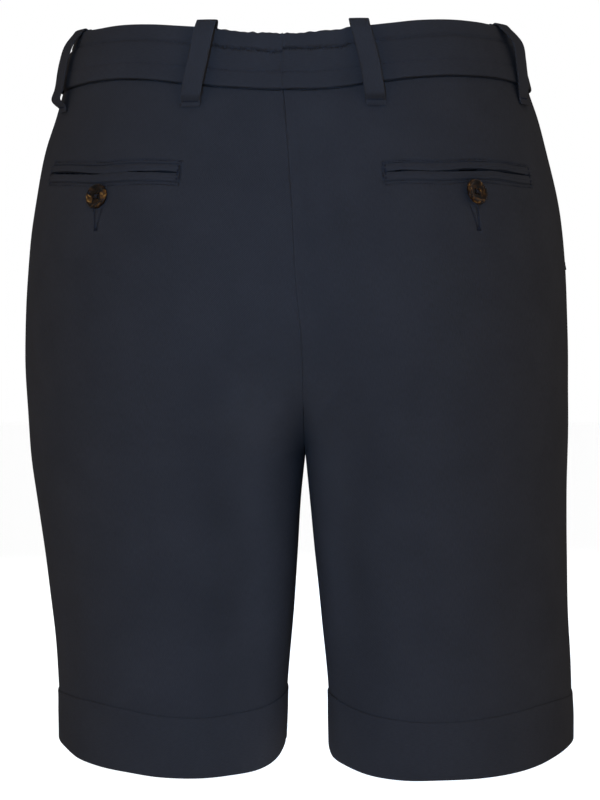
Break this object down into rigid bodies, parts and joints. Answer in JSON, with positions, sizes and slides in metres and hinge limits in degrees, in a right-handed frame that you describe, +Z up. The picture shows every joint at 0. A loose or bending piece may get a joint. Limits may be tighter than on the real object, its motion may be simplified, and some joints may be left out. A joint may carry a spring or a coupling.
{
  "type": "bermuda shorts",
  "caption": "Hollow bermuda shorts in dark cloth, waist to above the knee, with turned-up cuffs, belt loops and buttoned back pockets.",
  "frame": {"origin": "centre of the waist, half way up the waistband at the side seams, where the shorts are held", "axes": "+Z up out of the waist, -Y the front, +X the wearer's left"},
  "size_m": [0.3966, 0.2633, 0.5272],
  "materials": {
    "cloth": "smooth dark navy cotton weave, matt with a faint sheen",
    "button": "polished brown mottled resin"
  },
  "bodies": {
    "root": {"back_left": "cloth", "front_left": "cloth", "cuff_left": "cloth", "waistband_left": "cloth", "belt_loop_back_left": "cloth", "belt_loop_front_left": "cloth", "belt_loop_side_left": "cloth", "pocket_welt_upper_left": "cloth", "pocket_welt_lower_left": "cloth", "slant_pocket_edge_left": "cloth", "pocket_button_left": "button", "back_right": "cloth", "front_right": "cloth", "cuff_right": "cloth", "waistband_right": "cloth", "belt_loop_back_right": "cloth", "belt_loop_front_right": "cloth", "belt_loop_side_right": "cloth", "pocket_welt_upper_right": "cloth", "pocket_welt_lower_right": "cloth", "slant_pocket_edge_right": "cloth", "pocket_button_right": "button", "fly_facing": "cloth", "waist_button": "button"}
  },
  "joints": []
}
